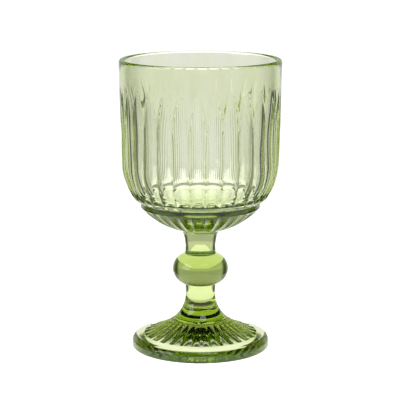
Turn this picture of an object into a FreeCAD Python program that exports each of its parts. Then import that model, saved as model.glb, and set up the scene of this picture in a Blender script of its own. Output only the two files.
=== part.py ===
"""A stemmed drinking glass of pressed green glass, 156 mm tall.

Five solids are stacked on the Z axis and meet face to face: the bowl, the upper stem, the knop, the
lower stem and the foot. The origin is the centre of the foot's underside and +Z points up. Each
solid is turned from a profile in the XZ plane. Three rings of round-bottomed grooves are then cut:
the flutes in the bowl's wall, the rays under the bowl and the ribs on the foot. The flutes end in a
turned collar round the bottom of the wall, which leaves a ring of pointed facets. All sizes are in
millimetres and come from the sheet "Sizes".
"""

import FreeCAD
import Part
import math
import os
import Sketcher

DOCUMENT = FreeCAD.newDocument("WineGlass")
FLAT_NORMAL = FreeCAD.Vector(0, 0, 1)

# Name, value in millimetres (or a plain count or degrees), meaning.
SIZES = [
    ("total_height", 155.8, "floor to the top of the rim"),
    ("rim_radius", 43.0, "outside of the rolled rim"),
    ("lip_round", 1.5, "rounding of the rim, half of its thickness"),
    ("shoulder_level", 101.0, "height where the wall is upright and starts to curve in"),
    ("body_radius", 42.0, "outside of the wall at the shoulder"),
    ("body_wall", 3.6, "thickness of the wall at the shoulder"),
    ("inner_corner", 26.0, "radius between the inner wall and the inner floor"),
    ("wall_foot_radius", 35.4, "lower end of the wall's curve, inside the collar"),
    ("wall_foot_level", 81.5, "height of that end"),
    ("collar_edge_radius", 34.9, "sharp lower edge of the collar"),
    ("collar_edge_level", 81.05, "height of that edge"),
    ("collar_side_radius", 35.9, "collar where its side turns upright"),
    ("collar_side_level", 82.35, "height of that turn, where the facets between the flutes start"),
    ("collar_top_radius", 36.25, "upper end of the collar's side, inside the wall"),
    ("collar_top_level", 85.6, "height of that end"),
    ("collar_inner_radius", 34.6, "inner end of the collar's top, inside the wall"),
    ("collar_root_radius", 31.3, "inner end of the collar's underside, inside the band"),
    ("collar_root_level", 79.2, "height of that end"),
    ("band_top_radius", 32.1, "smooth band where it goes under the wall"),
    ("band_top_level", 80.2, "height where the band ends, inside the collar"),
    ("tier_radius", 31.9, "lower edge of the band and outer edge of the rayed underside"),
    ("tier_level", 76.8, "height of that edge"),
    ("tier_curve", 42.0, "bulge of the rayed underside"),
    ("neck_top_radius", 10.2, "upper stem where it meets the bowl"),
    ("neck_top_level", 64.0, "height of that joint"),
    ("neck_radius", 8.15, "narrowest part of the upper stem"),
    ("neck_waist_level", 54.8, "height where the upper stem is narrowest"),
    ("stem_joint_radius", 8.3, "both stems where they meet the knop"),
    ("knop_round", 8.5, "radius of the knop's rounded side"),
    ("knop_top_level", 51.2, "joint between the upper stem and the knop"),
    ("knop_base_level", 34.6, "joint between the knop and the lower stem"),
    ("stem_radius", 8.1, "narrowest part of the lower stem"),
    ("stem_waist_level", 29.2, "height where the lower stem starts to flare"),
    ("flare_radius", 15.0, "lower stem where it meets the foot"),
    ("flare_level", 15.2, "height of that joint"),
    ("foot_radius", 37.1, "outside of the foot"),
    ("foot_base_round", 1.5, "rounding of the foot's lower edge"),
    ("foot_side_top", 3.2, "upper end of the foot's upright side"),
    ("foot_top_round", 3.5, "rounding of the foot's upper edge"),
    ("foot_curve", 44.0, "hollow sweep of the foot's top"),
    ("rest_inner_radius", 29.0, "inside of the flat ring that the glass stands on"),
    ("dome_height", 6.0, "rise of the foot's underside at the axis"),
    ("groove_count", 30, "grooves in each of the three rings"),
    ("flute_round", 8.0, "radius of a flute's bottom"),
    ("flute_depth", 1.65, "deepest cut of a flute"),
    ("flute_start_level", 147.0, "height where the flute's cutter is clear above the wall"),
    ("flute_clearance", 0.1, "gap between cutter and rim there"),
    ("flute_full_level", 113.0, "height where the flute reaches its full depth"),
    ("flute_blend", 150.0, "radius that eases the flute into its full depth"),
    ("flute_fade", 1.89, "how much wider a flute's lower curve is than the wall's, to make it shallower"),
    ("flute_turn_drop", 21.4, "drop from the shoulder to where the cutter goes straight on"),
    ("flute_exit_drop", 26.0, "drop from the shoulder to the cutter's lower end"),
    ("ray_round", 5.0, "radius of a ray's bottom"),
    ("ray_start_radius", 12.46, "inner end of the ray cutter's centre line"),
    ("ray_start_drop", 4.62, "its drop below the neck joint"),
    ("ray_end_radius", 34.3, "outer end of the ray cutter's centre line"),
    ("ray_end_drop", 3.25, "its drop below the tier's outer edge"),
    ("ray_curve", 47.56, "sweep of the ray cutter's centre line"),
    ("rib_round", 3.2, "radius of a foot groove's bottom"),
    ("rib_start_radius", 17.03, "inner end of the rib cutter's centre line"),
    ("rib_start_rise", 2.03, "its rise above the foot joint"),
    ("rib_end_radius", 30.89, "outer end of the rib cutter's centre line"),
    ("rib_end_level", 9.6, "height of that end"),
    ("rib_curve", 42.29, "sweep of the rib cutter's centre line"),
    ("flute_angle", 6.0, "turn of the first flute about the Z axis, in degrees"),
    ("ray_angle", 6.0, "turn of the first ray, in line with the flutes"),
    ("rib_angle", 3.0, "turn of the first foot groove"),
]


class Size:
    """A length with the sheet expression that drives it."""

    def __init__(self, value, expression):
        self.value = value
        self.expression = expression

    def combined(self, other, sign, value):
        return Size(value, f"({self.expression} {sign} {other.expression})")

    def __add__(self, other):
        return self.combined(other, "+", self.value + other.value)

    def __sub__(self, other):
        return self.combined(other, "-", self.value - other.value)

    def __mul__(self, other):
        return self.combined(other, "*", self.value * other.value)

    def __truediv__(self, other):
        return self.combined(other, "/", self.value / other.value)


ZERO = Size(0.0, "0")
TWO = Size(2.0, "2")


def make_sheet():
    """Writes the sheet of sizes and gives back one Size for each name."""
    sheet = DOCUMENT.addObject("Spreadsheet::Sheet", "Sizes")
    sizes = {}
    for row, (name, value, meaning) in enumerate(SIZES, start=1):
        sheet.set(f"A{row}", name)
        sheet.set(f"B{row}", str(value))
        sheet.set(f"C{row}", meaning)
        sheet.setAlias(f"B{row}", name)
        sizes[name] = Size(float(value), f"Sizes.{name}")
    DOCUMENT.recompute()
    return sizes


def bind(sketch, index, size):
    """Lets the sheet drive one constraint of a sketch."""
    sketch.setExpression(f"Constraints[{index}]", size.expression)


def origin_plane(body, role):
    """One of the body's own origin planes or axes, by its role."""
    return next(item for item in body.Origin.OriginFeatures if item.Role == role)


def add_sketch(body, name):
    """A sketch in the XZ plane of a body: its x is the radius and its y is the height."""
    sketch = body.newObject("Sketcher::SketchObject", name)
    sketch.AttachmentSupport = (origin_plane(body, "XZ_Plane"), [""])
    sketch.MapMode = "FlatFace"
    return sketch


class Outline:
    """Lines and arcs drawn end to end in a sketch, each end point driven by the sheet."""

    def __init__(self, sketch, start):
        self.sketch = sketch
        self.first = start
        self.point = start
        self.ends = []

    def flat(self, point):
        return FreeCAD.Vector(point[0].value, point[1].value, 0)

    def place(self, geometry, start_end, finish_end, point):
        """Adds one line or arc and joins it to the last one."""
        index = self.sketch.addGeometry(geometry, False)
        if self.ends:
            last, last_end = self.ends[-1][0], self.ends[-1][2]
            self.sketch.addConstraint(
                Sketcher.Constraint("Coincident", last, last_end, index, start_end))
        self.ends.append((index, start_end, finish_end))
        self.point = point
        return index

    def fix(self, index, end, point):
        """Holds an end point at its radius and height, or on an axis where one of them is nothing."""
        radius, level = point
        if radius is ZERO:
            self.sketch.addConstraint(Sketcher.Constraint("PointOnObject", index, end, -2))
        else:
            number = self.sketch.addConstraint(
                Sketcher.Constraint("DistanceX", -1, 1, index, end, radius.value))
            bind(self.sketch, number, radius)
        if level is ZERO:
            self.sketch.addConstraint(Sketcher.Constraint("PointOnObject", index, end, -1))
        else:
            number = self.sketch.addConstraint(
                Sketcher.Constraint("DistanceY", -1, 1, index, end, level.value))
            bind(self.sketch, number, level)

    def line(self, point):
        return self.place(Part.LineSegment(self.flat(self.point), self.flat(point)), 1, 2, point)

    def arc(self, point, radius, centre_on_left):
        """An arc of a given radius. Its centre lies left or right of the way from start to end."""
        start, finish = self.flat(self.point), self.flat(point)
        chord = finish - start
        side = FreeCAD.Vector(-chord.y, chord.x, 0).normalize()
        reach = math.sqrt(radius.value ** 2 - (chord.Length / 2) ** 2)
        centre = start + chord / 2 + side * (reach if centre_on_left else -reach)
        angles = [math.atan2(end.y - centre.y, end.x - centre.x) for end in (start, finish)]
        ends = (1, 2)
        if not centre_on_left:
            angles.reverse()
            ends = (2, 1)
        circle = Part.Circle(centre, FLAT_NORMAL, radius.value)
        index = self.place(Part.ArcOfCircle(circle, *angles), *ends, point)
        number = self.sketch.addConstraint(Sketcher.Constraint("Radius", index, radius.value))
        bind(self.sketch, number, radius)
        return index

    def close(self):
        """Draws the last line back to the start and joins it to the first piece."""
        self.line(self.first)
        last, first = self.ends[-1], self.ends[0]
        self.sketch.addConstraint(
            Sketcher.Constraint("Coincident", last[0], last[2], first[0], first[1]))


def add_turned(body, name, start, steps):
    """Adds a ring or solid turned about Z from an outline to a body. Each step is an end point, or
    an end point with the radius of its arc and the side of the arc's centre."""
    sketch = add_sketch(body, f"{name}_profile")
    outline = Outline(sketch, start)
    corners = [start]
    for step in steps:
        if len(step) == 2:
            outline.line(step)
            corners.append(step)
        else:
            outline.arc((step[0], step[1]), step[2], step[3])
            corners.append((step[0], step[1]))
    outline.close()
    for (index, start_end, _), corner in zip(outline.ends, corners):
        outline.fix(index, start_end, corner)
    turned = body.newObject("PartDesign::Revolution", f"{name}_turned")
    turned.Profile = sketch
    turned.ReferenceAxis = (sketch, ["V_Axis"])
    turned.Angle = 360.0
    body.Tip = turned
    DOCUMENT.recompute()


def turned_body(name, start, steps):
    """A new body that starts as a solid turned about Z."""
    body = DOCUMENT.addObject("PartDesign::Body", name)
    body.Label = name
    add_turned(body, name, start, steps)
    return body


def cut_grooves(body, name, path, cutter, count):
    """Sweeps a round cutter along a path sketch, takes it from the body and repeats it about Z."""
    before = body.Shape.Volume
    section = body.newObject("Sketcher::SketchObject", f"{name}_section")
    section.AttachmentSupport = (path, ["Edge1"])
    section.MapMode = "NormalToEdge"
    section.MapPathParameter = 0.0
    circle = Part.Circle(FreeCAD.Vector(0, 0, 0), FLAT_NORMAL, cutter.value)
    index = section.addGeometry(circle, False)
    section.addConstraint(Sketcher.Constraint("Coincident", index, 3, -1, 1))
    number = section.addConstraint(Sketcher.Constraint("Radius", index, cutter.value))
    bind(section, number, cutter)
    DOCUMENT.recompute()
    groove = body.newObject("PartDesign::SubtractivePipe", f"{name}_first")
    groove.Profile = section
    groove.Spine = (path, [f"Edge{edge + 1}" for edge in range(len(path.Shape.Edges))])
    body.Tip = groove
    DOCUMENT.recompute()
    one = before - body.Shape.Volume
    ring = body.newObject("PartDesign::PolarPattern", f"{name}_ring")
    ring.Originals = [groove]
    ring.Axis = (origin_plane(body, "Z_Axis"), [""])
    ring.Angle = 360.0
    ring.setExpression("Occurrences", count.expression)
    body.Tip = ring
    DOCUMENT.recompute()
    every = before - body.Shape.Volume
    print(f"{name}: one groove {one:.2f} mm3, the ring of them {every:.2f} mm3")


def path_sketch(body, name, turn):
    """A sketch for a cutter's path, in the upright plane at an angle about the Z axis."""
    sketch = add_sketch(body, name)
    sketch.AttachmentOffset = FreeCAD.Placement(
        FreeCAD.Vector(0, 0, 0), FreeCAD.Rotation(FreeCAD.Vector(0, 1, 0), turn.value))
    return sketch


def bulge(run, offset):
    """Radius of an arc that starts along its run and has left it by an offset at the run's end."""
    return (run * run + offset * offset) / (TWO * offset)


def one_arc_path(body, name, turn, start, end, radius):
    """A cutter path of a single arc with its centre on the left of the way from start to end."""
    sketch = path_sketch(body, name, turn)
    outline = Outline(sketch, start)
    index = outline.arc(end, radius, True)
    outline.fix(index, 1, start)
    outline.fix(index, 2, end)
    DOCUMENT.recompute()
    return sketch


def flute_path(body, sizes):
    """The flute cutter's centre line: slanting in below the rim, straight down the wall, round
    the bowl's lower curve, then straight out through the place of the collar."""
    sketch = path_sketch(body, "flute_path", sizes["flute_angle"])
    offset = sizes["flute_round"] - sizes["flute_depth"]
    deep_radius = sizes["body_radius"] + offset
    shoulder = sizes["shoulder_level"]
    turn_radius = bowl_curve(sizes) + offset + sizes["flute_fade"]
    blend = sizes["flute_blend"]
    start = (sizes["rim_radius"] + sizes["flute_round"] + sizes["flute_clearance"],
             sizes["flute_start_level"])
    deep = (deep_radius, sizes["flute_full_level"])
    low = (deep_radius, shoulder)

    blend_centre = FreeCAD.Vector(deep_radius.value + blend.value, deep[1].value, 0)
    away = FreeCAD.Vector(start[0].value, start[1].value, 0) - blend_centre
    blend_turn = math.pi - math.atan2(away.y, away.x) - math.acos(blend.value / away.Length)
    blend_start = blend_centre + blend.value * FreeCAD.Vector(
        -math.cos(blend_turn), math.sin(blend_turn), 0)
    curve_centre = FreeCAD.Vector(deep_radius.value - turn_radius.value, shoulder.value, 0)
    curve_turn = math.asin(sizes["flute_turn_drop"].value / turn_radius.value)
    curve_end = curve_centre + turn_radius.value * FreeCAD.Vector(
        math.cos(curve_turn), -math.sin(curve_turn), 0)
    last_drop = sizes["flute_exit_drop"].value - sizes["flute_turn_drop"].value
    exit_end = curve_end - last_drop * FreeCAD.Vector(math.tan(curve_turn), 1, 0)

    slant = sketch.addGeometry(
        Part.LineSegment(FreeCAD.Vector(start[0].value, start[1].value, 0), blend_start), False)
    ease = sketch.addGeometry(Part.ArcOfCircle(
        Part.Circle(blend_centre, FLAT_NORMAL, blend.value), math.pi - blend_turn, math.pi), False)
    upright = sketch.addGeometry(Part.LineSegment(
        FreeCAD.Vector(deep[0].value, deep[1].value, 0),
        FreeCAD.Vector(low[0].value, low[1].value, 0)), False)
    curve = sketch.addGeometry(Part.ArcOfCircle(
        Part.Circle(curve_centre, FLAT_NORMAL, turn_radius.value), -curve_turn, 0), False)
    leaving = sketch.addGeometry(Part.LineSegment(curve_end, exit_end), False)

    for first, first_end, second, second_end in (
            (slant, 2, ease, 1), (ease, 2, upright, 1), (upright, 2, curve, 2), (curve, 1, leaving, 1)):
        sketch.addConstraint(
            Sketcher.Constraint("Tangent", first, first_end, second, second_end))
    for geometry, end, kind, size in (
            (slant, 1, "DistanceX", start[0]), (slant, 1, "DistanceY", start[1]),
            (upright, 1, "DistanceX", deep[0]), (upright, 1, "DistanceY", deep[1]),
            (upright, 2, "DistanceX", low[0]), (upright, 2, "DistanceY", low[1]),
            (curve, 1, "DistanceY", shoulder - sizes["flute_turn_drop"]),
            (leaving, 2, "DistanceY", shoulder - sizes["flute_exit_drop"])):
        number = sketch.addConstraint(
            Sketcher.Constraint(kind, -1, 1, geometry, end, size.value))
        bind(sketch, number, size)
    for arc, radius in ((ease, blend), (curve, turn_radius)):
        number = sketch.addConstraint(Sketcher.Constraint("Radius", arc, radius.value))
        bind(sketch, number, radius)
    DOCUMENT.recompute()
    return sketch


def bowl_curve(sizes):
    """Radius of the bowl's lower curve, upright at the shoulder."""
    return bulge(sizes["shoulder_level"] - sizes["wall_foot_level"],
                 sizes["body_radius"] - sizes["wall_foot_radius"])


def make_bowl(sizes):
    """The drinking bowl, closed at the bottom by its joint with the upper stem."""
    shoulder = sizes["shoulder_level"]
    lip = sizes["lip_round"]
    lip_level = sizes["total_height"] - lip
    inner_rim = sizes["rim_radius"] - lip * TWO
    inner_body = sizes["body_radius"] - sizes["body_wall"]
    upper_run = lip_level - shoulder
    floor_level = shoulder - sizes["inner_corner"]
    neck = sizes["neck_top_level"]
    body = turned_body("bowl", (ZERO, neck), [
        (sizes["neck_top_radius"], neck),
        (sizes["tier_radius"], sizes["tier_level"], sizes["tier_curve"], True),
        (sizes["band_top_radius"], sizes["band_top_level"]),
        (sizes["wall_foot_radius"], sizes["wall_foot_level"]),
        (sizes["body_radius"], shoulder, bowl_curve(sizes), True),
        (sizes["rim_radius"], lip_level,
         bulge(upper_run, sizes["rim_radius"] - sizes["body_radius"]), False),
        (sizes["rim_radius"] - lip, sizes["total_height"], lip, True),
        (inner_rim, lip_level, lip, True),
        (inner_body, shoulder, bulge(upper_run, inner_rim - inner_body), True),
        (inner_body - sizes["inner_corner"], floor_level, sizes["inner_corner"], False),
        (ZERO, floor_level),
    ])
    cut_grooves(body, "flute", flute_path(body, sizes), sizes["flute_round"],
                sizes["groove_count"])
    add_turned(body, "collar", (sizes["collar_root_radius"], sizes["collar_root_level"]), [
        (sizes["collar_edge_radius"], sizes["collar_edge_level"]),
        (sizes["collar_side_radius"], sizes["collar_side_level"]),
        (sizes["collar_top_radius"], sizes["collar_top_level"]),
        (sizes["collar_inner_radius"], sizes["collar_top_level"]),
    ])
    ray_path = one_arc_path(
        body, "ray_path", sizes["ray_angle"],
        (sizes["ray_start_radius"], neck - sizes["ray_start_drop"]),
        (sizes["ray_end_radius"], sizes["tier_level"] - sizes["ray_end_drop"]), sizes["ray_curve"])
    cut_grooves(body, "ray", ray_path, sizes["ray_round"], sizes["groove_count"])
    return body


def make_upper_stem(sizes):
    """The waisted neck between the bowl and the knop."""
    waist = sizes["neck_waist_level"]
    top = sizes["neck_top_level"]
    flare = bulge(top - waist, sizes["neck_top_radius"] - sizes["neck_radius"])
    return turned_body("upper_stem", (ZERO, sizes["knop_top_level"]), [
        (sizes["stem_joint_radius"], sizes["knop_top_level"]),
        (sizes["neck_radius"], waist),
        (sizes["neck_top_radius"], top, flare, False),
        (ZERO, top),
    ])


def make_knop(sizes):
    """The squashed ball. Its side is one arc between the two joints with the stems."""
    joint = sizes["stem_joint_radius"]
    return turned_body("knop", (ZERO, sizes["knop_base_level"]), [
        (joint, sizes["knop_base_level"]),
        (joint, sizes["knop_top_level"], sizes["knop_round"], True),
        (ZERO, sizes["knop_top_level"]),
    ])


def make_lower_stem(sizes):
    """The short stem that flares into the foot."""
    waist = sizes["stem_waist_level"]
    base = sizes["flare_level"]
    flare = bulge(waist - base, sizes["flare_radius"] - sizes["stem_radius"])
    return turned_body("lower_stem", (ZERO, base), [
        (sizes["flare_radius"], base),
        (sizes["stem_radius"], waist, flare, False),
        (sizes["stem_joint_radius"], sizes["knop_base_level"]),
        (ZERO, sizes["knop_base_level"]),
    ])


def make_foot(sizes):
    """The round foot: a flat ring to stand on, a rounded edge and radial ribs on top."""
    outside = sizes["foot_radius"]
    base_round = sizes["foot_base_round"]
    top_round = sizes["foot_top_round"]
    side_top = sizes["foot_side_top"]
    rest = sizes["rest_inner_radius"]
    dome = sizes["dome_height"]
    joint = sizes["flare_level"]
    body = turned_body("foot", (ZERO, dome), [
        (rest, ZERO, bulge(rest, dome), False),
        (outside - base_round, ZERO),
        (outside, base_round, base_round, True),
        (outside, side_top),
        (outside - top_round, side_top + top_round, top_round, True),
        (sizes["flare_radius"], joint, sizes["foot_curve"], False),
        (ZERO, joint),
    ])
    rib_path = one_arc_path(
        body, "rib_path", sizes["rib_angle"],
        (sizes["rib_start_radius"], joint + sizes["rib_start_rise"]),
        (sizes["rib_end_radius"], sizes["rib_end_level"]), sizes["rib_curve"])
    cut_grooves(body, "rib", rib_path, sizes["rib_round"], sizes["groove_count"])
    return body


def check_solids(bodies):
    """Stops if a feature failed or a body isn't one valid closed solid."""
    for item in DOCUMENT.Objects:
        if "Invalid" in item.State or "Error" in item.State:
            raise RuntimeError(f"{item.Label} did not build: {item.State}")
    for body in bodies:
        shape = body.Shape
        if shape.isNull() or not shape.isValid() or len(shape.Solids) != 1:
            raise RuntimeError(f"{body.Label} is not one valid solid")
        print(f"{body.Label}: {shape.Volume / 1000:.2f} cm3")


def main():
    sizes = make_sheet()
    bodies = [
        make_bowl(sizes),
        make_upper_stem(sizes),
        make_knop(sizes),
        make_lower_stem(sizes),
        make_foot(sizes),
    ]
    DOCUMENT.recompute()
    check_solids(bodies)
    os.makedirs("parts", exist_ok=True)
    for body in bodies:
        body.Shape.exportStep(f"parts/{body.Label}.step")


main()
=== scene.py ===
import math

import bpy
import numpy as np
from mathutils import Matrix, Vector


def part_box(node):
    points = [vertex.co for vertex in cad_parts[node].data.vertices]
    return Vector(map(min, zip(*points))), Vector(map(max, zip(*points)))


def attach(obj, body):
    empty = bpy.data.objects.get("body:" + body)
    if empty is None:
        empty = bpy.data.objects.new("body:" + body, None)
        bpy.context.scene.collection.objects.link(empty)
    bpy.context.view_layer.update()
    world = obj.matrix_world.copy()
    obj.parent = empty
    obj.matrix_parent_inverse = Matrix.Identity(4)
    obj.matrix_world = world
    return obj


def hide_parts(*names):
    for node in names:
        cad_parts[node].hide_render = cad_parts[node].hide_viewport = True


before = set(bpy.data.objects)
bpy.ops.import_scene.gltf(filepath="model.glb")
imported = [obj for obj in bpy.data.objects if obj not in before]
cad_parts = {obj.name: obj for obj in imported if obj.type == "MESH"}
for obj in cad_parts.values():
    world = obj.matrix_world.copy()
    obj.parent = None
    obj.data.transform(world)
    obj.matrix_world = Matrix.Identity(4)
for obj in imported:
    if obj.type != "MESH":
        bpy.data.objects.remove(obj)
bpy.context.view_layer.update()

# A stemmed glass of pressed green glass on a pale studio table. Its five pieces are closed meshes,
# each turned from a profile, with the flutes, rays and ribs pressed into the turned surface.
# Profiles are in millimetres, with the radius first and the height second; meshes are in metres.

MM = 0.001


def low(node):
    """Height in millimetres of a node's lowest point."""
    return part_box(node)[0][2] / MM


def high(node):
    """Height in millimetres of a node's highest point."""
    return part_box(node)[1][2] / MM


# ---------------------------------------------------------------- sizes, as in the CAD model

RIM_LEVEL = high("bowl")
NECK_LEVEL = low("bowl")
KNOP_TOP = high("knop")
KNOP_BASE = low("knop")
FOOT_JOINT = high("foot")

RIM_RADIUS = 43.0
LIP = 1.5                                   # radius of the rolled lip
SHOULDER = 101.0                            # below this height the wall curves in
BODY_RADIUS = 42.0                          # outside radius of the wall at the shoulder
INNER_BODY = 38.4                           # and its inside radius
INNER_CORNER = 26.0
WALL_FOOT = (35.4, 81.5)                    # where the wall's lower curve would end
COLLAR_EDGE = (34.9, 81.05)
COLLAR_SIDE = (35.9, 82.35)
COLLAR_TOP = (36.25, 85.6)
COLLAR_FOOT = 0.15                          # how far above its edge the collar's side starts
BAND_TOP = (32.1, 79.65)
TIER_EDGE = (31.9, 76.8)                    # where the rayed underside meets the smooth band
TIER_CURVE = 42.0
NECK_TOP_RADIUS = 10.2
NECK_RADIUS = 8.15
NECK_WAIST = 54.8
JOINT_RADIUS = 8.3
KNOP_ROUND = 8.5
STEM_RADIUS = 8.1
STEM_WAIST = 29.2
FLARE_RADIUS = 15.0
FOOT_RADIUS = 37.1
FOOT_BASE_ROUND = 1.5
FOOT_SIDE_TOP = 3.2
FOOT_TOP_ROUND = 3.5
FOOT_CURVE = 44.0
REST_RADIUS = 29.0                          # inside radius of the flat ring that the glass stands on
DOME = 6.0

GROOVES = 30
FLUTE_ROUND = 8.0
FLUTE_DEPTH = 1.65
FLUTE_FADE = 1.89                           # how much wider a flute's lower curve is than the wall's
FLUTE_FULL = 113.0                          # below this height a flute has its full depth
FLUTE_BLEND = 150.0                         # radius that eases the upright run into the slanting one
FLUTE_START = (RIM_RADIUS + 0.1, 147.0)     # where the flute's bottom line is clear of the wall
FLUTE_LAST = 142.0                          # above this height no flute is left
RAY_ROUND = 5.0
RAY_SLOPE = 0.0525
RAY_START = 11.72
RAY_END = 31.35
RAY_ENDS = (0.1, 0.06)                      # width of the steps at a ray's inner and outer end
RIB_ROUND = 3.2
RIB_SLOPE = 0.0434
RIB_START = 15.3
RIB_START_DEPTH = 0.35
RIB_END = 30.3
RIB_ENDS = (0.05, 0.06)                     # width of the steps at a rib's inner and outer end
FLUTE_TURN = math.radians(6)                # the angle about the axis of each ring's first groove
RAY_TURN = math.radians(6)
RIB_TURN = math.radians(3)

BAND_EASE = 0.15                            # how far from a pressed corner its rounding starts
COLLAR_EASE = 0.2
REST_EASE = 0.3
FOOT_EASE = 0.4
NEARLY_HALF = 0.45                          # the most of a run beside a corner that is rounded off
CORNER_SHARES = (0.0, 0.25, 0.5, 0.75, 1.0)     # shares of a rounded corner where it has rows


def bulge(run, offset):
    """Radius of an arc that starts along its run and has left it by an offset at the end."""
    return (run * run + offset * offset) / (2 * offset)


WALL_CURVE = bulge(SHOULDER - WALL_FOOT[1], BODY_RADIUS - WALL_FOOT[0])
WALL_CENTRE = BODY_RADIUS - WALL_CURVE


def wall_radius(height):
    """Outside radius of the wall's lower curve at a height."""
    return WALL_CENTRE + math.sqrt(WALL_CURVE ** 2 - (SHOULDER - height) ** 2)


# ---------------------------------------------------------------- sizes of the meshes and the glass

COLUMNS = GROOVES * 22                      # points round a grooved piece
PLAIN_COLUMNS = 240                         # points round a plain one
INNERMOST = 2.0                             # radius of the ring nearest the axis
SHARP = math.radians(38)                    # edges that turn by more than this stay sharp
CAP_LEAN = 0.08                             # how far a joint face leans into its neighbour
GLASS_IOR = 1.51
JOINT_IOR = 1.0                             # light goes straight on through a joint face

# The wall's unevenness: each wave's height in millimetres, its number round the glass, its twist
# in radians for each millimetre up and its start in radians.
WAVES = ((0.2, 4, 0.11, 0.0), (0.14, 9, -0.16, 1.3), (0.08, 17, 0.23, 2.1))
WAVE_SPAN = (82.0, 150.0)                   # heights between which the wall is uneven
WAVE_FADE = 8.0                             # height over which the waves die out at either end


# ---------------------------------------------------------------- groove depths

def upper_flute(radius, height):
    """Depth of a flute above the shoulder: a slanting run, an easing curve, then upright."""
    deep = BODY_RADIUS - FLUTE_DEPTH
    away = (FLUTE_START[0] - deep - FLUTE_BLEND, FLUTE_START[1] - FLUTE_FULL)
    turn = math.pi - math.atan2(away[1], away[0]) - math.acos(FLUTE_BLEND / math.hypot(*away))
    rise = height - FLUTE_FULL
    eased = FLUTE_BLEND * math.sin(turn)
    if rise <= 0:
        bottom = deep
    elif rise <= eased:
        bottom = deep + FLUTE_BLEND - math.sqrt(FLUTE_BLEND ** 2 - rise ** 2)
    else:
        bottom = deep + FLUTE_BLEND * (1 - math.cos(turn)) + (rise - eased) * math.tan(turn)
    return radius - bottom


def lower_flute(radius, height):
    """Depth of a flute in the wall's lower curve, where its own curve is a little wider."""
    angle = math.asin((SHOULDER - height) / WALL_CURVE)
    return FLUTE_DEPTH - FLUTE_FADE * (1 - math.cos(angle))


def collar_depth(radius, height):
    """How far below the wall's curve the collar's side lies, measured towards the curve's centre."""
    towards = ((WALL_CENTRE - radius) / WALL_CURVE, (SHOULDER - height) / WALL_CURVE)
    start, end = (COLLAR_EDGE, COLLAR_SIDE) if height <= COLLAR_SIDE[1] else (COLLAR_SIDE, COLLAR_TOP)
    side = (end[0] - start[0], end[1] - start[1])
    gap = (start[0] - radius, start[1] - height)
    across = towards[0] * side[1] - towards[1] * side[0]
    return max((gap[0] * side[1] - gap[1] * side[0]) / across, 0.0)


def ray(radius, height):
    """Depth of a ray, which grows outwards from nothing."""
    return RAY_SLOPE * (radius - RAY_START)


def rib(radius, height):
    """Depth of the groove between two ribs, which grows outwards."""
    return RIB_START_DEPTH + RIB_SLOPE * (radius - RIB_START)


# Each kind of groove: the radius of its bottom, its turn about the axis and its depth.
UPPER_FLUTE = (FLUTE_ROUND, FLUTE_TURN, upper_flute)
LOWER_FLUTE = (FLUTE_ROUND, FLUTE_TURN, lower_flute)
RAY = (RAY_ROUND, RAY_TURN, ray)
RIB = (RIB_ROUND, RIB_TURN, rib)


# ---------------------------------------------------------------- profiles

def arc_centre(start, end, radius, centre_on_left):
    """Centre of the arc from start to end, on the left or the right of the way."""
    run = (end[0] - start[0], end[1] - start[1])
    chord = math.hypot(*run)
    reach = math.sqrt(radius * radius - chord * chord / 4) * (1 if centre_on_left else -1)
    return (start[0] + run[0] / 2 - run[1] / chord * reach,
            start[1] + run[1] / 2 + run[0] / chord * reach)


def on_arc(centre, radius, at_radius):
    """The lower point of a circle at a distance from the axis."""
    return (at_radius, centre[1] - math.sqrt(radius ** 2 - (at_radius - centre[0]) ** 2))


class Profile:
    """A chain of rows, each a point, the normal that points out of the glass and its groove. The
    glass lies on the left of the way."""

    def __init__(self, point, normal=(0.0, -1.0)):
        self.rows = [(point, normal, None)]
        self.eased = {}

    def ease(self, amount):
        """Rounds the corner at the last point by an amount."""
        self.eased[len(self.rows) - 1] = amount

    def add_row(self, point, groove):
        """One row at a point, with the normal of the row before it."""
        self.rows.append((point, self.rows[-1][1], groove))

    def line(self, end, steps):
        """A straight run from the last point to an end point."""
        start = self.rows[-1][0]
        run = (end[0] - start[0], end[1] - start[1])
        length = math.hypot(*run)
        for step in range(1, steps + 1):
            share = step / steps
            point = (start[0] + run[0] * share, start[1] + run[1] * share)
            self.rows.append((point, (run[1] / length, -run[0] / length), None))

    def arc(self, end, radius, centre_on_left, steps, groove=None):
        """An arc of a given radius, from the last point to an end point."""
        start = self.rows[-1][0]
        self.turn(arc_centre(start, end, radius, centre_on_left), end, steps, groove)

    def turn(self, centre, end, steps, groove=None):
        """An arc about a centre, from the last point to an end point."""
        start = self.rows[-1][0]
        radius = math.dist(centre, start)
        first = math.atan2(start[1] - centre[1], start[0] - centre[0])
        last = math.atan2(end[1] - centre[1], end[0] - centre[0])
        turn = (last - first + math.pi) % (2 * math.pi) - math.pi
        side = 1 if turn > 0 else -1
        for step in range(1, steps + 1):
            angle = first + turn * step / steps
            out = (math.cos(angle), math.sin(angle))
            point = (centre[0] + radius * out[0], centre[1] + radius * out[1])
            self.rows.append((point, (side * out[0], side * out[1]), groove))

    def rounded(self):
        """The rows with each eased corner turned into a small curve."""
        rows = []
        for index, row in enumerate(self.rows):
            if index not in self.eased:
                rows.append(row)
                continue
            after = self.rows[index + 1]
            here = np.array(row[0])
            back = np.array(self.rows[index - 1][0]) - here
            ahead = np.array(after[0]) - here
            room = NEARLY_HALF * min(np.hypot(*back), np.hypot(*ahead))
            amount = min(self.eased[index], room)
            start = here + back / np.hypot(*back) * amount
            finish = here + ahead / np.hypot(*ahead) * amount
            for share in CORNER_SHARES:
                point = ((1 - share) ** 2 * start + 2 * share * (1 - share) * here
                         + share ** 2 * finish)
                normal = (1 - share) * np.array(row[1]) + share * np.array(after[1])
                groove = row[2] if share < 0.5 else after[2]
                rows.append((tuple(point), tuple(normal / np.hypot(*normal)), groove))
        return rows


# ---------------------------------------------------------------- meshes

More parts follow.
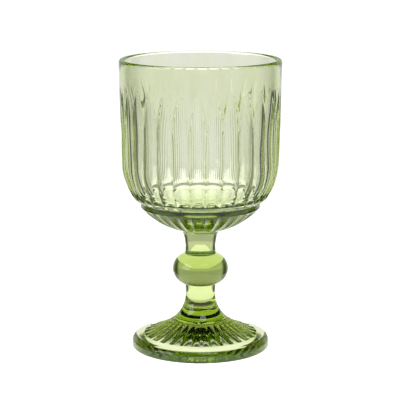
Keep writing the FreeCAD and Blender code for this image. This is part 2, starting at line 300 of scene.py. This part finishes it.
def groove_cut(point, normal, groove, around):
    """How far a ring of round-bottomed grooves goes into the glass at each angle about the axis.
    Where the flutes end, the collar's side lies over them."""
    cutter, turn, depth_at = groove
    depth = depth_at(*point)
    step = 2 * math.pi / GROOVES
    across = (around - turn + step / 2) % step - step / 2
    sideways = point[0] * np.sin(across)
    sag = point[0] * (1 - np.cos(across)) * normal[0]
    bottom = np.sqrt(np.clip(cutter * cutter - sideways * sideways, 0, None))
    cut = np.maximum(bottom - (cutter - depth) - sag, 0) if depth > 0 else np.zeros(len(around))
    if groove is LOWER_FLUTE:
        collar = collar_depth(*point)
        cut = np.full_like(cut, collar) if point[1] <= COLLAR_SIDE[1] else np.minimum(cut, collar)
    return cut


def wall_wave(around, height):
    """The unevenness that pressing leaves in the fluted wall."""
    bottom, top = WAVE_SPAN
    fade = (np.clip((height - bottom) / WAVE_FADE, 0, 1)
            * np.clip((top - height) / WAVE_FADE, 0, 1))
    return fade * sum(size * np.sin(number * around + twist * height + start)
                      for size, number, twist, start in WAVES)


def pressed_rings(rows, columns, uneven):
    """Every point of a turned surface, ring by ring, with its grooves pressed into it."""
    around = np.arange(columns) * (2 * math.pi / columns)
    radius = np.empty((len(rows), columns))
    height = np.empty((len(rows), columns))
    for index, (point, normal, groove) in enumerate(rows):
        cut = groove_cut(point, normal, groove, around) if groove else 0.0
        radius[index] = point[0] - normal[0] * cut
        height[index] = point[1] - normal[1] * cut
    if uneven:
        radius += wall_wave(around, height)
    return np.stack([radius * np.cos(around), radius * np.sin(around), height], axis=2)


def closed_faces(rings, columns):
    """The faces between the rings, then a fan over the first ring and a fan over the last one.
    The two fans' middles are the points that follow the rings."""
    grid = np.arange(rings * columns).reshape(rings, columns)
    beside = np.roll(grid, -1, axis=1)
    first = grid.size
    last = first + 1
    faces = np.stack([grid[:-1], beside[:-1], beside[1:], grid[1:]], axis=2).reshape(-1, 4).tolist()
    faces += [[first, after, here] for here, after in zip(grid[0].tolist(), beside[0].tolist())]
    faces += [[last, here, after] for here, after in zip(grid[-1].tolist(), beside[-1].tolist())]
    return faces


def turned_piece(name, profile, middles, joints, columns=COLUMNS, uneven=False):
    """A closed mesh turned about Z. middles are the heights where its two end faces meet the axis,
    joints says which of them are joint faces, and uneven says if the wall has waves."""
    rings = pressed_rings(profile.rounded(), columns, uneven)
    points = np.concatenate([rings.reshape(-1, 3), [[0, 0, middles[0]], [0, 0, middles[1]]]])
    faces = closed_faces(len(rings), columns)
    mesh = bpy.data.meshes.new(name)
    mesh.from_pydata((points * MM).tolist(), [], faces)
    mesh.shade_smooth()
    mesh.set_sharp_from_angle(angle=SHARP)
    bend = np.full(len(faces), GLASS_IOR, dtype=np.float32)
    if joints[0]:
        bend[-2 * columns:-columns] = JOINT_IOR
    if joints[1]:
        bend[-columns:] = JOINT_IOR
    mesh.attributes.new("glass_ior", "FLOAT", "FACE").data.foreach_set("value", bend)
    mesh.update()
    piece = bpy.data.objects.new(name, mesh)
    bpy.context.scene.collection.objects.link(piece)
    return piece


# ---------------------------------------------------------------- the five pieces

def make_bowl():
    """The drinking bowl: rayed underside, smooth band, collar, fluted wall, rim and inside."""
    lip_level = RIM_LEVEL - LIP
    inner_rim = RIM_RADIUS - 2 * LIP
    floor_level = SHOULDER - INNER_CORNER
    profile = Profile((NECK_TOP_RADIUS, NECK_LEVEL))
    tier = arc_centre((NECK_TOP_RADIUS, NECK_LEVEL), TIER_EDGE, TIER_CURVE, centre_on_left=True)
    for stop, steps, groove in ((RAY_START + RAY_ENDS[0], 2, None), (RAY_END - RAY_ENDS[1], 24, RAY),
                                (RAY_END, 1, None)):
        profile.turn(tier, on_arc(tier, TIER_CURVE, stop), steps, groove)
    profile.turn(tier, TIER_EDGE, steps=1)
    profile.ease(BAND_EASE)
    profile.line(BAND_TOP, steps=3)
    profile.ease(BAND_EASE)
    profile.line(COLLAR_EDGE, steps=2)
    profile.ease(COLLAR_EASE)

    side_foot = COLLAR_EDGE[1] + COLLAR_FOOT
    profile.add_row((wall_radius(side_foot), side_foot), LOWER_FLUTE)
    for stop, steps in ((COLLAR_SIDE[1], 3), (COLLAR_TOP[1], 20), (SHOULDER, 24)):
        profile.turn((WALL_CENTRE, SHOULDER), (wall_radius(stop), stop), steps, LOWER_FLUTE)
    lean = bulge(lip_level - SHOULDER, RIM_RADIUS - BODY_RADIUS)
    for stop, steps, groove in ((FLUTE_FULL, 5, UPPER_FLUTE), (FLUTE_LAST, 32, UPPER_FLUTE),
                                (lip_level, 5, None)):
        radius = BODY_RADIUS + lean - math.sqrt(lean * lean - (stop - SHOULDER) ** 2)
        profile.arc((radius, stop), lean, False, steps, groove)
    profile.arc((RIM_RADIUS - LIP, RIM_LEVEL), LIP, centre_on_left=True, steps=7)

    profile.arc((inner_rim, lip_level), LIP, centre_on_left=True, steps=7)
    inner_lean = bulge(lip_level - SHOULDER, inner_rim - INNER_BODY)
    profile.arc((INNER_BODY, SHOULDER), inner_lean, centre_on_left=True, steps=14)
    profile.arc((INNER_BODY - INNER_CORNER, floor_level), INNER_CORNER, centre_on_left=False,
                steps=30)
    profile.line((INNERMOST, floor_level), steps=3)
    return turned_piece("glass_bowl", profile, (NECK_LEVEL - CAP_LEAN, floor_level),
                        joints=(True, False), uneven=True)


def make_upper_stem():
    """The waisted neck between the bowl and the knop."""
    flare = bulge(NECK_LEVEL - NECK_WAIST, NECK_TOP_RADIUS - NECK_RADIUS)
    profile = Profile((JOINT_RADIUS, KNOP_TOP), (1.0, 0.0))
    profile.line((NECK_RADIUS, NECK_WAIST), steps=4)
    profile.arc((NECK_TOP_RADIUS, NECK_LEVEL), flare, centre_on_left=False, steps=24)
    return turned_piece("glass_upper_stem", profile, (KNOP_TOP - CAP_LEAN, NECK_LEVEL + CAP_LEAN),
                        joints=(True, True), columns=PLAIN_COLUMNS)


def make_knop():
    """The squashed ball in the middle of the stem."""
    profile = Profile((JOINT_RADIUS, KNOP_BASE), (1.0, 0.0))
    profile.arc((JOINT_RADIUS, KNOP_TOP), KNOP_ROUND, centre_on_left=True, steps=60)
    return turned_piece("glass_knop", profile, (KNOP_BASE - CAP_LEAN, KNOP_TOP + CAP_LEAN),
                        joints=(True, True), columns=PLAIN_COLUMNS)


def make_lower_stem():
    """The short stem that flares out to the foot."""
    flare = bulge(STEM_WAIST - FOOT_JOINT, FLARE_RADIUS - STEM_RADIUS)
    profile = Profile((FLARE_RADIUS, FOOT_JOINT), (1.0, 0.0))
    profile.arc((STEM_RADIUS, STEM_WAIST), flare, centre_on_left=False, steps=34)
    profile.line((JOINT_RADIUS, KNOP_BASE), steps=4)
    return turned_piece("glass_lower_stem", profile, (FOOT_JOINT - CAP_LEAN, KNOP_BASE + CAP_LEAN),
                        joints=(True, True), columns=PLAIN_COLUMNS)


def make_foot():
    """The round foot: domed underside, rounded edge and ribbed top."""
    dome = bulge(REST_RADIUS, DOME)
    top_edge = (FOOT_RADIUS - FOOT_TOP_ROUND, FOOT_SIDE_TOP + FOOT_TOP_ROUND)
    joint = (FLARE_RADIUS, FOOT_JOINT)
    sweep = arc_centre(top_edge, joint, FOOT_CURVE, centre_on_left=False)
    profile = Profile((INNERMOST, DOME - INNERMOST ** 2 / (2 * dome)))
    profile.arc((REST_RADIUS, 0.0), dome, centre_on_left=False, steps=10)
    profile.ease(REST_EASE)
    profile.line((FOOT_RADIUS - FOOT_BASE_ROUND, 0.0), steps=3)
    profile.arc((FOOT_RADIUS, FOOT_BASE_ROUND), FOOT_BASE_ROUND, centre_on_left=True, steps=8)
    profile.line((FOOT_RADIUS, FOOT_SIDE_TOP), steps=2)
    profile.arc(top_edge, FOOT_TOP_ROUND, centre_on_left=True, steps=12)
    profile.ease(FOOT_EASE)
    for stop, steps, groove in ((RIB_END + RIB_ENDS[1], 4, None), (RIB_END, 1, RIB),
                                (RIB_START + RIB_ENDS[0], 26, RIB), (RIB_START, 1, None)):
        profile.turn(sweep, on_arc(sweep, FOOT_CURVE, stop), steps, groove)
    profile.turn(sweep, joint, steps=1)
    return turned_piece("glass_foot", profile, (DOME, FOOT_JOINT + CAP_LEAN), joints=(False, True))


# ---------------------------------------------------------------- glass

ABSORB = (0.59, 0.706, 0.0, 1.0)            # the green that deep glass goes towards
DENSITY = 74.0                              # how fast it does, for each metre of glass
STRETCH = (1.0, 1.0, 0.3)                   # makes the cords and ripples longer up the glass
CORD_SCALE = 120.0
CORD_TINT = (0.95, 0.97, 0.92, 1.0)
CORD_EDGES = (0.35, 0.6)                    # noise values between which the tint fades to clear
HAZE_EDGES = (0.4, 0.8)                     # noise values between which the haze grows
HAZE = 0.02                                 # the skin's greatest roughness
RIPPLE_SCALE = 260.0
RIPPLE_STRENGTH = 0.05
RIPPLE_HEIGHT = 0.0002                      # in metres


def add_noise(tree, place, scale, detail):
    """A noise texture at a place, and its value."""
    noise = tree.nodes.new("ShaderNodeTexNoise")
    noise.inputs["Scale"].default_value = scale
    noise.inputs["Detail"].default_value = detail
    tree.links.new(place, noise.inputs["Vector"])
    return noise.outputs["Fac"]


def glass_material():
    """Clear green glass. Its colour grows with depth, faint cords tint it, and its skin has the
    fine ripple and the slight haze of fire-polished pressed glass."""
    material = bpy.data.materials.new("green_glass")
    material.use_nodes = True
    tree = material.node_tree
    nodes, links = tree.nodes, tree.links
    shader = nodes["Principled BSDF"]
    shader.inputs["IOR"].default_value = GLASS_IOR
    shader.inputs["Transmission Weight"].default_value = 1.0

    bend = nodes.new("ShaderNodeAttribute")
    bend.attribute_name = "glass_ior"
    links.new(bend.outputs["Fac"], shader.inputs["IOR"])

    place = nodes.new("ShaderNodeTexCoord")
    stretch = nodes.new("ShaderNodeMapping")
    stretch.inputs["Scale"].default_value = STRETCH
    links.new(place.outputs["Object"], stretch.inputs["Vector"])

    cords = add_noise(tree, stretch.outputs["Vector"], CORD_SCALE, detail=3.0)
    tint = nodes.new("ShaderNodeValToRGB")
    cord, clear = tint.color_ramp.elements
    cord.position, clear.position = CORD_EDGES
    cord.color = CORD_TINT
    clear.color = (1.0, 1.0, 1.0, 1.0)
    links.new(cords, tint.inputs["Fac"])
    links.new(tint.outputs["Color"], shader.inputs["Base Color"])

    haze = nodes.new("ShaderNodeMapRange")
    haze.inputs["From Min"].default_value = HAZE_EDGES[0]
    haze.inputs["From Max"].default_value = HAZE_EDGES[1]
    haze.inputs["To Min"].default_value = 0.0
    haze.inputs["To Max"].default_value = HAZE
    links.new(cords, haze.inputs["Value"])
    links.new(haze.outputs["Result"], shader.inputs["Roughness"])

    skin = nodes.new("ShaderNodeBump")
    skin.inputs["Strength"].default_value = RIPPLE_STRENGTH
    skin.inputs["Distance"].default_value = RIPPLE_HEIGHT
    ripple = add_noise(tree, stretch.outputs["Vector"], RIPPLE_SCALE, detail=2.0)
    links.new(ripple, skin.inputs["Height"])
    links.new(skin.outputs["Normal"], shader.inputs["Normal"])

    depth = nodes.new("ShaderNodeVolumeAbsorption")
    depth.inputs["Color"].default_value = ABSORB
    depth.inputs["Density"].default_value = DENSITY
    links.new(depth.outputs["Volume"], nodes["Material Output"].inputs["Volume"])
    return material


GLASS = glass_material()
for node, make in (("bowl", make_bowl), ("upper_stem", make_upper_stem), ("knop", make_knop),
                   ("lower_stem", make_lower_stem), ("foot", make_foot)):
    piece = make()
    piece.data.materials.append(GLASS)
    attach(piece, "root")
    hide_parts(node)


# ---------------------------------------------------------------- studio, in metres

VIEW_TURN = math.radians(-88.2)             # the side that the camera looks from
CAMERA_RISE = math.radians(11.14)
CAMERA_DISTANCE = 0.860
CAMERA_AIM = 0.0784                         # height of the point that it looks at
CAMERA_LENS = 144.74
CAMERA_SHIFT = (-0.0011, 0.0080)

TABLE_BACK = 0.45                           # metres from the glass to the table's far edge
TABLE_FRONT = 0.5                           # and to its near edge
TABLE_SIDE = 0.09                           # half the table's width
TABLE_DROP = 0.00005                        # keeps the table's face clear of the foot's
TABLE_ALBEDO = 0.1
TABLE_GLOW = 1.35
TABLE_PAINTED_SHADOW = 0.06                          # painted shadow: the table's glow in the middle under the foot
SHADE_EDGES = (0.009, 0.025)                # radii between which that shade fades
TABLE_SEEN = 0.2                            # what the camera sees on top of the glow

BACKDROP = 0.85                             # brightness of the room up to eye level
HIGH_BACKDROP = 0.6                         # and a little above it
FRONT = 0.85                                # brightness behind the camera
FLAGS = 0.06                                # of the flags on both sides
CEILING = 0.01
BACKDROP_EDGES = (-0.9, 0.1)                # cosines off the view where front turns to backdrop
GRADE = (-2.5, 1.0)                         # elevations where the backdrop darkens, in degrees
CEILING_EDGES = (18.0, 24.0)                # elevations where the ceiling starts
FLAG_NEAR = (36.0, 52.0)                    # a flag's two soft edges, in degrees off the view
FLAG_FAR = (64.0, 84.0)
ROOM_SEEN = 1.05                            # brightness of the room where the camera sees it


class Nodes:
    """Short ways to add maths to a node tree."""

    def __init__(self, tree):
        self.tree = tree

    def math(self, operation, *values):
        """The result of a maths node. Each value is a number or another node's output."""
        node = self.tree.nodes.new("ShaderNodeMath")
        node.operation = operation
        for socket, value in zip(node.inputs, values):
            if isinstance(value, (int, float)):
                socket.default_value = value
            else:
                self.tree.links.new(value, socket)
        return node.outputs[0]

    def smooth(self, value, edges, first, last):
        """Goes smoothly from first to last as the value goes from one edge to the other."""
        node = self.tree.nodes.new("ShaderNodeMapRange")
        node.interpolation_type = "SMOOTHSTEP"
        self.tree.links.new(value, node.inputs["Value"])
        for name, number in (("From Min", edges[0]), ("From Max", edges[1]), ("To Min", first),
                             ("To Max", last)):
            node.inputs[name].default_value = number
        return node.outputs["Result"]


def radians(degrees):
    """A list of angles in radians."""
    return [math.radians(angle) for angle in degrees]


def sines(degrees):
    """The sines of a list of angles in degrees."""
    return [math.sin(angle) for angle in radians(degrees)]


def direction(azimuth, elevation):
    """The unit vector at an azimuth and an elevation in radians."""
    return Vector((math.cos(azimuth) * math.cos(elevation), math.sin(azimuth) * math.cos(elevation),
                   math.sin(elevation)))


def table_material():
    """White that glows softly, as a light table does, with a painted shadow: it glows less in a
    patch under the foot's middle."""
    material = bpy.data.materials.new("table_white")
    material.use_nodes = True
    tree = material.node_tree
    shader = tree.nodes["Principled BSDF"]
    shader.inputs["Base Color"].default_value = (TABLE_ALBEDO, TABLE_ALBEDO, TABLE_ALBEDO, 1.0)
    shader.inputs["Roughness"].default_value = 0.9
    shader.inputs["Specular IOR Level"].default_value = 0.0
    shader.inputs["Emission Color"].default_value = (1.0, 1.0, 1.0, 1.0)
    nodes = Nodes(tree)
    place = tree.nodes.new("ShaderNodeTexCoord")
    reach = tree.nodes.new("ShaderNodeVectorMath")
    reach.operation = "LENGTH"
    tree.links.new(place.outputs["Object"], reach.inputs[0])
    # painted shadow under the foot: the glow is low in the middle and full further out
    glow_with_painted_shadow = nodes.smooth(reach.outputs["Value"], SHADE_EDGES, TABLE_PAINTED_SHADOW, TABLE_GLOW)
    path = tree.nodes.new("ShaderNodeLightPath")
    glow = nodes.math("MULTIPLY_ADD", path.outputs["Is Camera Ray"], TABLE_SEEN, glow_with_painted_shadow)
    tree.links.new(glow, shader.inputs["Emission Strength"])
    return material


def make_table():
    """A narrow pale table that runs along the camera's view."""
    turn = VIEW_TURN + math.pi / 2
    corners = [(-TABLE_SIDE, -TABLE_FRONT), (TABLE_SIDE, -TABLE_FRONT),
               (TABLE_SIDE, TABLE_BACK), (-TABLE_SIDE, TABLE_BACK)]
    mesh = bpy.data.meshes.new("table")
    mesh.from_pydata([(x * math.cos(turn) - y * math.sin(turn),
                       x * math.sin(turn) + y * math.cos(turn), 0.0) for x, y in corners],
                     [], [(0, 1, 2, 3)])
    mesh.materials.append(table_material())
    table = bpy.data.objects.new("table", mesh)
    bpy.context.scene.collection.objects.link(table)
    table.location.z = -TABLE_DROP


def make_room():
    """White behind and in front, dark flags on both sides and a dark ceiling, which give the clear
    glass its dark edges. Seen directly, the room is plain white."""
    world = bpy.data.worlds.new("studio")
    bpy.context.scene.world = world
    world.use_nodes = True
    tree = world.node_tree
    nodes = Nodes(tree)
    place = tree.nodes.new("ShaderNodeTexCoord")
    parts = tree.nodes.new("ShaderNodeSeparateXYZ")
    tree.links.new(place.outputs["Generated"], parts.inputs[0])
    x, y, z = parts.outputs
    azimuth = nodes.math("ARCTAN2", y, x)
    behind = nodes.math("COSINE", nodes.math("SUBTRACT", azimuth, VIEW_TURN + math.pi))
    off = nodes.math("ARCCOSINE", behind)
    near = nodes.smooth(off, radians(FLAG_NEAR), 1.0, 0.0)
    far = nodes.smooth(off, radians(FLAG_FAR), 0.0, 1.0)
    graded = nodes.smooth(z, sines(GRADE), BACKDROP, HIGH_BACKDROP)
    share = nodes.smooth(behind, BACKDROP_EDGES, 0.0, 1.0)
    white = nodes.math("MULTIPLY_ADD", share, nodes.math("SUBTRACT", graded, FRONT), FRONT)
    wall = nodes.math("MULTIPLY_ADD", nodes.math("MAXIMUM", near, far),
                      nodes.math("SUBTRACT", white, FLAGS), FLAGS)
    above = nodes.smooth(z, sines(CEILING_EDGES), 0.0, 1.0)
    room = nodes.math("MULTIPLY_ADD", above, nodes.math("SUBTRACT", CEILING, wall), wall)
    path = tree.nodes.new("ShaderNodeLightPath")
    light = nodes.math("MULTIPLY_ADD", path.outputs["Is Camera Ray"],
                       nodes.math("SUBTRACT", ROOM_SEEN, room), room)
    background = tree.nodes["Background"]
    background.inputs["Color"].default_value = (1.0, 1.0, 1.0, 1.0)
    tree.links.new(light, background.inputs["Strength"])


def make_softbox(name, azimuth, elevation, size, brightness):
    """A square softbox a metre away, aimed at the middle of the glass."""
    light = bpy.data.lights.new(name, "AREA")
    light.size = size
    light.energy = brightness * math.pi * size * size
    box = bpy.data.objects.new(name, light)
    bpy.context.scene.collection.objects.link(box)
    box.visible_camera = False
    away = direction(math.radians(azimuth), math.radians(elevation))
    box.location = away + Vector((0.0, 0.0, RIM_LEVEL * MM / 2))
    box.rotation_euler = away.to_track_quat("Z", "Y").to_euler()


def make_camera():
    """The camera, placed where the photo's perspective puts it."""
    data = bpy.data.cameras.new("camera")
    data.sensor_width = 36.0
    data.lens = CAMERA_LENS
    data.shift_x, data.shift_y = CAMERA_SHIFT
    camera = bpy.data.objects.new("camera", data)
    bpy.context.scene.collection.objects.link(camera)
    away = direction(VIEW_TURN, CAMERA_RISE)
    camera.location = Vector((0.0, 0.0, CAMERA_AIM)) + away * CAMERA_DISTANCE
    camera.rotation_euler = away.to_track_quat("Z", "Y").to_euler()
    bpy.context.scene.camera = camera


make_table()
make_room()
make_softbox("key_light", azimuth=-153.0, elevation=25.0, size=0.6, brightness=3.0)
make_softbox("top_light", azimuth=-68.0, elevation=60.0, size=0.4, brightness=3.0)
make_camera()
scene = bpy.context.scene
scene.view_settings.view_transform = "Standard"
scene.cycles.max_bounces = 24
scene.cycles.transmission_bounces = 24
scene.cycles.glossy_bounces = 16
